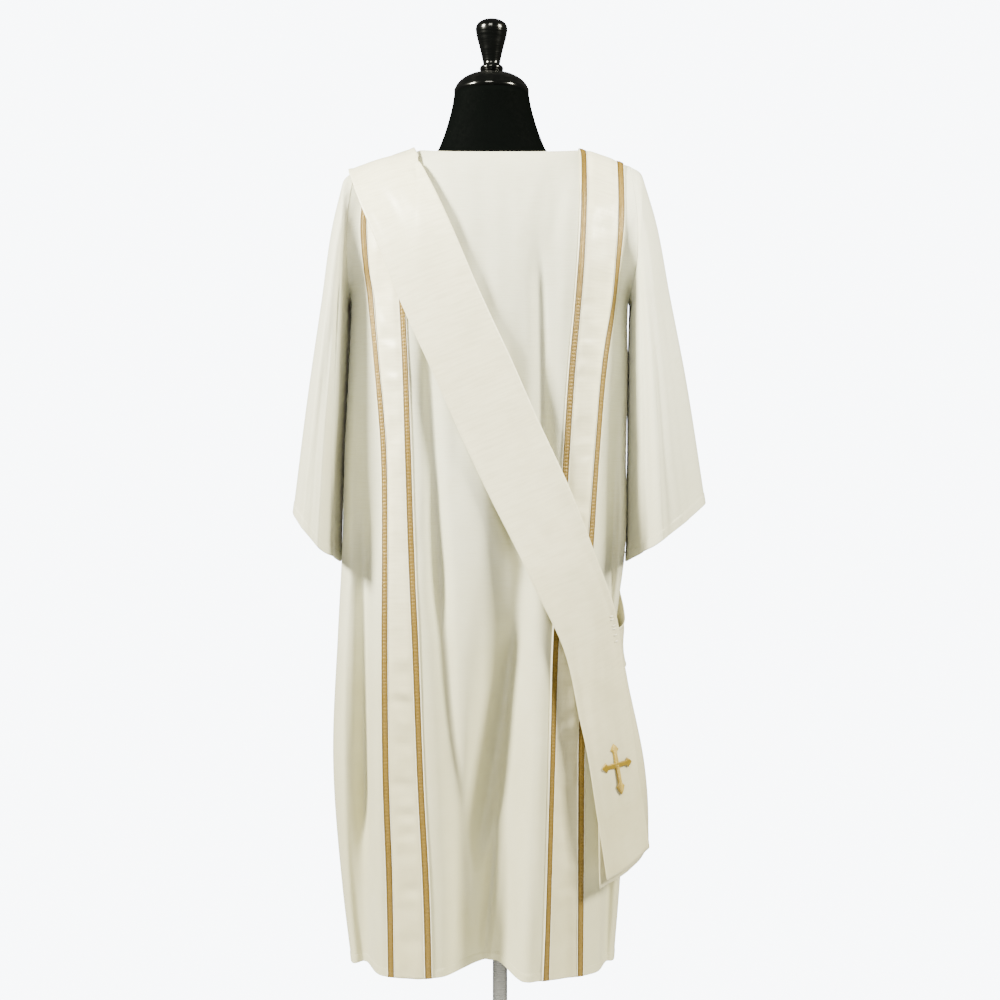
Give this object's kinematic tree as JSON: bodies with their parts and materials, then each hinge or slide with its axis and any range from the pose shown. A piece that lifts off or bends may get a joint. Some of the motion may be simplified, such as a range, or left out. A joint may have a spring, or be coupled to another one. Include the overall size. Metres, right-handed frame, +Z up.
{
  "type": "dalmatic with sash stole on a dress form",
  "caption": "Deacon's dalmatic: straight robe with wide open sleeves, braid-edged upright bands and a diagonal sash stole, standing on a limbless dress form.",
  "frame": {"origin": "centre of the foot plate's underside, on the floor on the pole's axis", "axes": "+Z up along the pole; +X to the wearer's right; -Y out of the wearer's back"},
  "size_m": [0.613, 0.3417, 1.6978],
  "materials": {
    "ivory_cloth": "ivory white plain-weave vestment cloth with a soft low sheen",
    "ivory_satin": "cream satin with a soft sheen",
    "gold_braid": "narrow woven gold braid with darker edges and a beaded middle",
    "gold_embroidery": "gold satin-stitch embroidery",
    "black_jersey": "matt black jersey cover",
    "black_gloss": "turned wood in gloss black lacquer",
    "steel_pole": "satin grey steel tube",
    "foot_paint": "dark powder-coated steel"
  },
  "bodies": {
    "root": {"back_panel": "ivory_cloth", "front_panel": "ivory_cloth", "sleeve_left": "ivory_cloth", "sleeve_right": "ivory_cloth", "band_back_left": "ivory_satin", "band_back_right": "ivory_satin", "band_front_left": "ivory_satin", "band_front_right": "ivory_satin", "braid_back_left_outer": "gold_braid", "braid_back_left_inner": "gold_braid", "braid_back_right_inner": "gold_braid", "braid_back_right_outer": "gold_braid", "braid_front_left_outer": "gold_braid", "braid_front_left_inner": "gold_braid", "braid_front_right_inner": "gold_braid", "braid_front_right_outer": "gold_braid", "stole_back": "ivory_satin", "stole_front": "ivory_satin", "stole_cross": "gold_embroidery", "form_torso": "black_jersey", "neck_cap": "black_gloss", "finial": "black_gloss", "pole": "steel_pole", "foot_plate": "foot_paint"}
  },
  "joints": []
}
